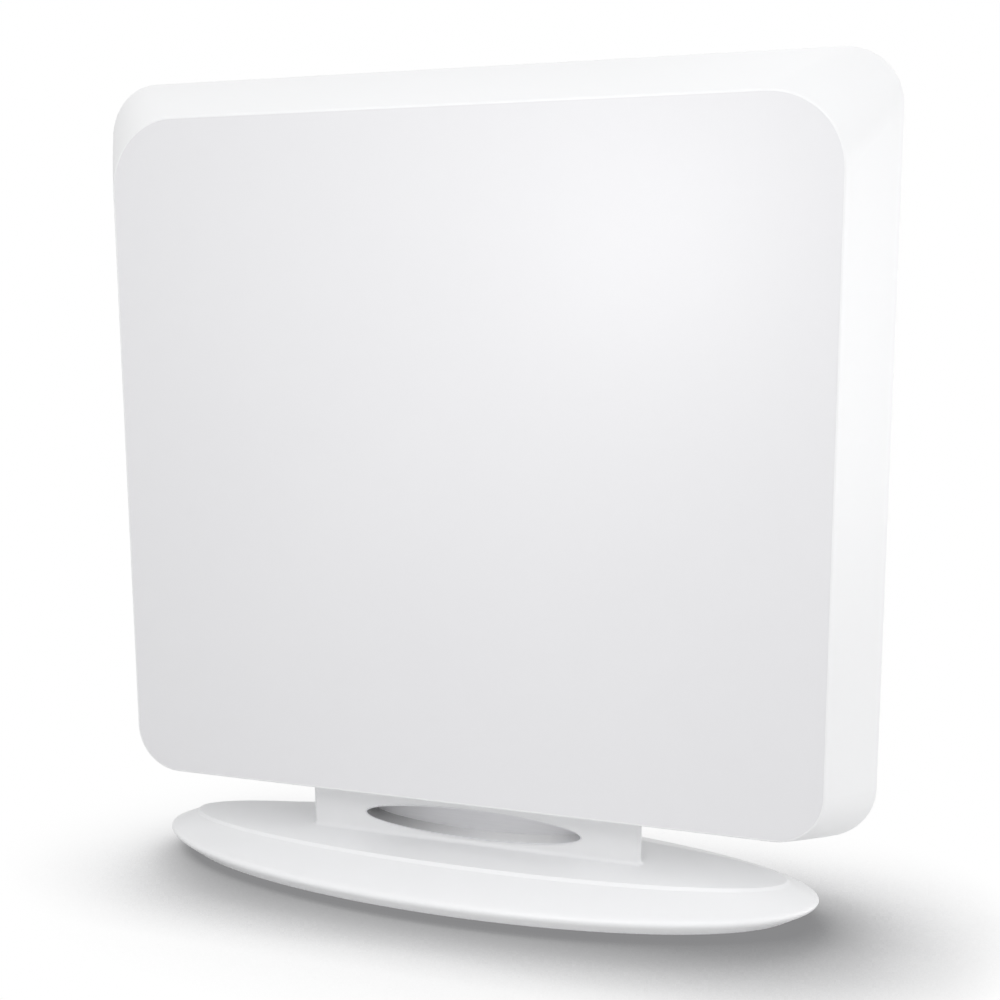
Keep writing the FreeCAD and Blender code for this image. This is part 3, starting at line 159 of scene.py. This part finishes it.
# Reflector and elements: bare rolled aluminium sheet inside the panel, held on plastic posts.
# The rolling leaves long streaks that run from side to side.
sheet_metal, shade = new_finish("rolled_aluminium")
streaks = noise(shade, spots_per_metre=900.0, detail=4.0, stretch=(0.03, 1, 1))
surface(sheet_metal, shade.node("ShaderNodeBsdfPrincipled", {}, {
    "Base Color": blend(shade, streaks, (0.70, 0.70, 0.71), (0.80, 0.80, 0.81)),
    "Metallic": 1.0,
    "Roughness": 0.30 + streaks * 0.16,
}))
dress(sheet_metal, "reflector_sheet", "left_element", "right_element")

# Posts and socket insulator: natural nylon mouldings, with the cloudy tone of unpainted plastic.
# The posts plug into the rear cover through the reflector.
nylon = moulded("natural_nylon", colour=(0.86, 0.84, 0.78), shadow_colour=(0.82, 0.80, 0.73),
                roughness=0.52, skin_depth=0.00003)
dress(nylon, "left_inner_post", "right_inner_post", "left_lower_post", "left_upper_post",
      "right_lower_post", "right_upper_post", "socket_insulator")

# Feed board: green glass-fibre board across the inner tips of the elements.
# The weave of the cloth shows faintly through the solder mask.
WEAVE_SCALE = 420.0
board_green, shade = new_finish("solder_mask")
warp, weft = (shade.node("ShaderNodeTexWave", {"bands_direction": axis},
                         {"Vector": places(shade), "Scale": WEAVE_SCALE}) for axis in "XZ")
weave = warp * weft
surface(board_green, shade.node("ShaderNodeBsdfPrincipled", {}, {
    "Base Color": blend(shade, weave, (0.020, 0.150, 0.075), (0.035, 0.220, 0.110)),
    "Roughness": 0.32 + weave * 0.10,
    "Normal": shade.node("ShaderNodeBump", {}, {"Strength": 0.3, "Distance": 0.00005, "Height": weave}),
}))
dress(board_green, "feed_board")

# Transformer core: sintered ferrite, a dark ceramic with small sparkling grains.
# It is glued to the front of the board.
ferrite, shade = new_finish("sintered_ferrite")
grains = noise(shade, spots_per_metre=2600.0, detail=4.0)
surface(ferrite, shade.node("ShaderNodeBsdfPrincipled", {}, {
    "Base Color": blend(shade, grains, (0.030, 0.030, 0.032), (0.075, 0.074, 0.075)),
    "Roughness": 0.75 - grains * 0.25,
    "Normal": shade.node("ShaderNodeBump", {}, {"Strength": 0.4, "Distance": 0.00006, "Height": grains}),
}))
dress(ferrite, "balun_core")

# Lead: thin coaxial cable in a black extruded sheath, soldered to the board and to the socket.
# The extruder leaves faint lines along it.
sheath, shade = new_finish("black_sheath")
lines = noise(shade, spots_per_metre=1500.0, stretch=(1, 1, 0.04))
surface(sheath, shade.node("ShaderNodeBsdfPrincipled", {}, {
    "Base Color": blend(shade, lines, (0.018, 0.018, 0.019), (0.035, 0.035, 0.036)),
    "Roughness": 0.45 + lines * 0.12,
}))
dress(sheath, "coax_lead")

# Coaxial socket: turned brass with nickel plate, held in the rear cover by a washer and a nut.
# The lathe leaves fine rings around its axis, and has cut a thread of 32 turns to the inch on the barrel.
THREAD_PITCH = 0.0254 / 32


def nickel_plate(name, threaded):
    """Bright plate with turning rings and a little tarnish, and with the barrel's thread where asked for."""
    finish, shade = new_finish(name)
    rings = noise(shade, spots_per_metre=5200.0, detail=3.0, stretch=(0.03, 1, 0.03))
    tarnish = noise(shade, spots_per_metre=260.0, detail=3.0)
    relief = rings * 0.05
    if threaded:
        low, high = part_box("socket_body")
        axis_height = (low[2] + high[2]) / 2
        x, y, z = (along(shade, places(shade), axis) for axis in "XYZ")
        turn = shade.node("ShaderNodeMath", {"operation": "ARCTAN2"}, {0: x, 1: z - axis_height})
        helix = y * (math.tau / THREAD_PITCH) + turn
        relief = relief + shade.node("ShaderNodeMath", {"operation": "SINE"}, {0: helix}) * 0.5
    shader = shade.node("ShaderNodeBsdfPrincipled", {}, {
        "Base Color": blend(shade, tarnish, (0.60, 0.58, 0.54), (0.74, 0.73, 0.70)),
        "Metallic": 1.0,
        "Roughness": 0.20 + rings * 0.12 + tarnish * 0.06,
        "Normal": shade.node("ShaderNodeBump", {}, {"Strength": 0.8, "Distance": 0.0003, "Height": relief}),
    })
    surface(finish, shader)
    return finish


dress(nickel_plate("threaded_nickel", threaded=True), "socket_body")
dress(nickel_plate("nickel_plate", threaded=False), "socket_contact", "socket_washer", "socket_nut")

# Oval trim: a pressed aluminium cup with a satin silver lacquer, glued into the recess on the neck.
# Its floor is brushed along its length; its wall carries painted shade at the left end and a painted
# highlight and reflection towards the right.
oval_silver, shade = new_finish("satin_silver")
brushing = noise(shade, spots_per_metre=4200.0, detail=3.0, stretch=(0.02, 1, 1))
facing = shade.node("ShaderNodeTexCoord", {}, {}, "Normal")
floor_share = shade.node("ShaderNodeMath", {"operation": "ABSOLUTE"}, {0: along(shade, facing, "Y")})
left_end, right_end = (corner[0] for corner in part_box("oval_trim"))
across = (along(shade, places(shade), "X") - left_end) / (right_end - left_end)
# Painted light on the wall, laid along X: painted shade at the left end, rising to a painted highlight from
# the middle to the right end.
painted_wall_shade_and_highlight = shade.node("ShaderNodeValToRGB", {"stops": [
    (0.00, (0.48, 0.48, 0.485)),
    (1.00, (0.80, 0.80, 0.81)),
    (0.16, (0.58, 0.58, 0.585)),
    (0.35, (0.80, 0.80, 0.805)),
    (0.50, (0.94, 0.94, 0.95)),
    (0.60, (0.99, 0.99, 0.99)),
    (0.84, (0.99, 0.99, 0.99)),
    (0.93, (0.88, 0.88, 0.89)),
]}, {"Fac": across})
floor = blend(shade, brushing, (0.80, 0.80, 0.82), (0.89, 0.89, 0.91))
surface(oval_silver, shade.node("ShaderNodeBsdfPrincipled", {}, {
    "Base Color": shade.node("ShaderNodeMix", {"data_type": "RGBA"}, {0: floor_share, 6: painted_wall_shade_and_highlight, 7: floor}, 2),
    "Metallic": 0.15,
    "Roughness": 0.20 + floor_share * 0.26 + brushing * 0.08,
    "Normal": shade.node("ShaderNodeBump", {}, {"Strength": 0.15, "Distance": 0.00002, "Height": brushing}),
}))
dress(oval_silver, "oval_trim")

# Ballast: a flame-cut steel plate in the foot, with mill scale on it.
# It lies on the tray and is clamped by the ribs under the neck.
mill_steel, shade = new_finish("mill_steel")
scale = noise(shade, spots_per_metre=120.0, detail=5.0)
surface(mill_steel, shade.node("ShaderNodeBsdfPrincipled", {}, {
    "Base Color": blend(shade, scale, (0.16, 0.16, 0.17), (0.33, 0.33, 0.34)),
    "Metallic": 1.0,
    "Roughness": 0.38 + scale * 0.25,
}))
dress(mill_steel, "ballast_plate")

# Rubber pads: black moulded discs, pressed into seats under the tray.
# Their matt skin is dusty where they meet the table.
pad_black, shade = new_finish("pad_rubber")
dust = noise(shade, spots_per_metre=700.0, detail=4.0)
surface(pad_black, shade.node("ShaderNodeBsdfPrincipled", {}, {
    "Base Color": blend(shade, dust, (0.018, 0.018, 0.018), (0.045, 0.044, 0.042)),
    "Roughness": 0.70 + dust * 0.15,
    "Normal": shade.node("ShaderNodeBump", {}, {"Strength": 0.4, "Distance": 0.00005, "Height": dust}),
}))
dress(pad_black, "front_left_pad", "front_right_pad", "rear_left_pad", "rear_right_pad")

# Screws: zinc-plated steel with a cross recess, in the case, the stand, the elements and the foot.
# The plating bath leaves a fine mottle on their heads.
zinc, shade = new_finish("zinc_plate")
mottle = noise(shade, spots_per_metre=1800.0, detail=3.0)
surface(zinc, shade.node("ShaderNodeBsdfPrincipled", {}, {
    "Base Color": blend(shade, mottle, (0.52, 0.53, 0.55), (0.66, 0.67, 0.69)),
    "Metallic": 1.0,
    "Roughness": 0.28 + mottle * 0.16,
}))
dress(zinc, "case_screws", "stand_screws", "element_screws", "feed_screws", "base_screws")

# Table: a plain white sweep under the antenna. It is shaded close to the foot, more so to the right
# and in front, and runs out to plain white around it.
TABLE_HALF = 6.0
SHADE_REACH = 0.07


def seen_rays(shade):
    """One for the rays of the camera, of mirrors and of glass, which all see the plain white studio."""
    camera, mirror, glass = (shade.node("ShaderNodeLightPath", {}, {}, f"Is {kind} Ray")
                             for kind in ("Camera", "Glossy", "Transmission"))
    return camera + mirror + glass


mesh = bpy.data.meshes.new("table")
corners = [(-TABLE_HALF, -TABLE_HALF, 0), (TABLE_HALF, -TABLE_HALF, 0),
           (TABLE_HALF, TABLE_HALF, 0), (-TABLE_HALF, TABLE_HALF, 0)]
mesh.from_pydata(corners, [], [(0, 1, 2, 3)])
table = bpy.data.objects.new("table", mesh)
bpy.context.scene.collection.objects.link(table)
sweep, shade = new_finish("white_sweep")
lean = shade.node("ShaderNodeCombineXYZ", {}, {"X": -0.60, "Y": 0.45, "Z": 0.66})
cover = shade.node("ShaderNodeAmbientOcclusion", {"samples": 16},
                   {"Distance": SHADE_REACH, "Normal": lean}, "AO")
shaded = shade.node("ShaderNodeValToRGB", {"stops": [
    (0.45, (0.25, 0.25, 0.255)),
    (0.97, (1.0, 1.0, 1.0)),
    (0.60, (0.41, 0.41, 0.415)),
    (0.73, (0.54, 0.54, 0.545)),
    (0.84, (0.77, 0.77, 0.775)),
]}, {"Fac": cover})
white = shade.node("ShaderNodeEmission", {}, {"Color": shaded, "Strength": 1.0})
matt = shade.node("ShaderNodeBsdfDiffuse", {}, {"Color": (0.80, 0.80, 0.80, 1)})
surface(sweep, shade.node("ShaderNodeMixShader", {}, {0: seen_rays(shade), 1: matt, 2: white}))
table.data.materials.append(sweep)

# Studio light: a small soft box close before the face, a large one in front and above, and weaker
# ones around the antenna. The surround is a little brighter in front, and shows as white.
FRONT_LEVEL = 0.57
REAR_LEVEL = 0.42
WHITE_LEVEL = 1.0
WHITE = (1, 1, 1, 1)


def soft_box(name, place, aim, width, power):
    """A square lamp at a place, turned to a point, that the camera doesn't see."""
    lamp = bpy.data.lights.new(name, "AREA")
    lamp.shape = "SQUARE"
    lamp.size = width
    lamp.energy = power
    box = bpy.data.objects.new(name, lamp)
    box.location = place
    box.rotation_euler = (Vector(aim) - Vector(place)).to_track_quat("-Z", "Y").to_euler()
    box.visible_camera = False
    bpy.context.scene.collection.objects.link(box)


soft_box("face_box", place=(0.02, -0.28, 0.245), aim=(0.06, 0, 0.24), width=0.10, power=0.155)
soft_box("front_box", place=(0.12, -0.65, 0.85), aim=(0, 0, 0.10), width=0.90, power=3.5)
soft_box("right_box", place=(0.90, 0.12, 0.15), aim=(0.12, 0, 0.10), width=0.50, power=2.2)
soft_box("top_box", place=(0.05, 0.10, 1.20), aim=(0, 0, 0.10), width=0.80, power=0.3)
soft_box("left_box", place=(-0.60, 0.05, 0.90), aim=(-0.05, 0, 0.20), width=0.60, power=0.3)
soft_box("rear_box", place=(0.20, 0.80, 1.10), aim=(0, 0, 0.15), width=0.60, power=0.6)
world = bpy.data.worlds.new("surround")
bpy.context.scene.world = world
world.use_nodes = True
world.node_tree.nodes.clear()
shade = Shade(world.node_tree)
rearward = along(shade, shade.node("ShaderNodeTexCoord", {}, {}, "Generated"), "Y")
behind = shade.node("ShaderNodeMath", {"operation": "ADD", "use_clamp": True}, {0: rearward * 1.5, 1: 0.5})
bright, dim, backdrop = (shade.node("ShaderNodeBackground", {}, {"Color": WHITE, "Strength": level})
                         for level in (FRONT_LEVEL, REAR_LEVEL, WHITE_LEVEL))
surround = shade.node("ShaderNodeMixShader", {}, {0: behind, 1: bright, 2: dim})
mixed = shade.node("ShaderNodeMixShader", {}, {0: seen_rays(shade), 1: surround, 2: backdrop})
shade.node("ShaderNodeOutputWorld", {}, {"Surface": mixed})

# Camera: the place and turn that the photograph was taken from, for a square image.
# Lens, place and turn are fitted to the edges of the panel and the foot.
CAMERA_TURN_DEGREES = (80.990, 0.261, 18.039)
lens = bpy.data.cameras.new("camera")
lens.lens = 49.07
lens.sensor_width = 36.0
lens.clip_start = 0.01
camera = bpy.data.objects.new("camera", lens)
camera.location = (0.16105, -0.45948, 0.22060)
camera.rotation_euler = [math.radians(turn) for turn in CAMERA_TURN_DEGREES]
bpy.context.scene.collection.objects.link(camera)
bpy.context.scene.camera = camera
bpy.context.scene.view_settings.view_transform = "Standard"
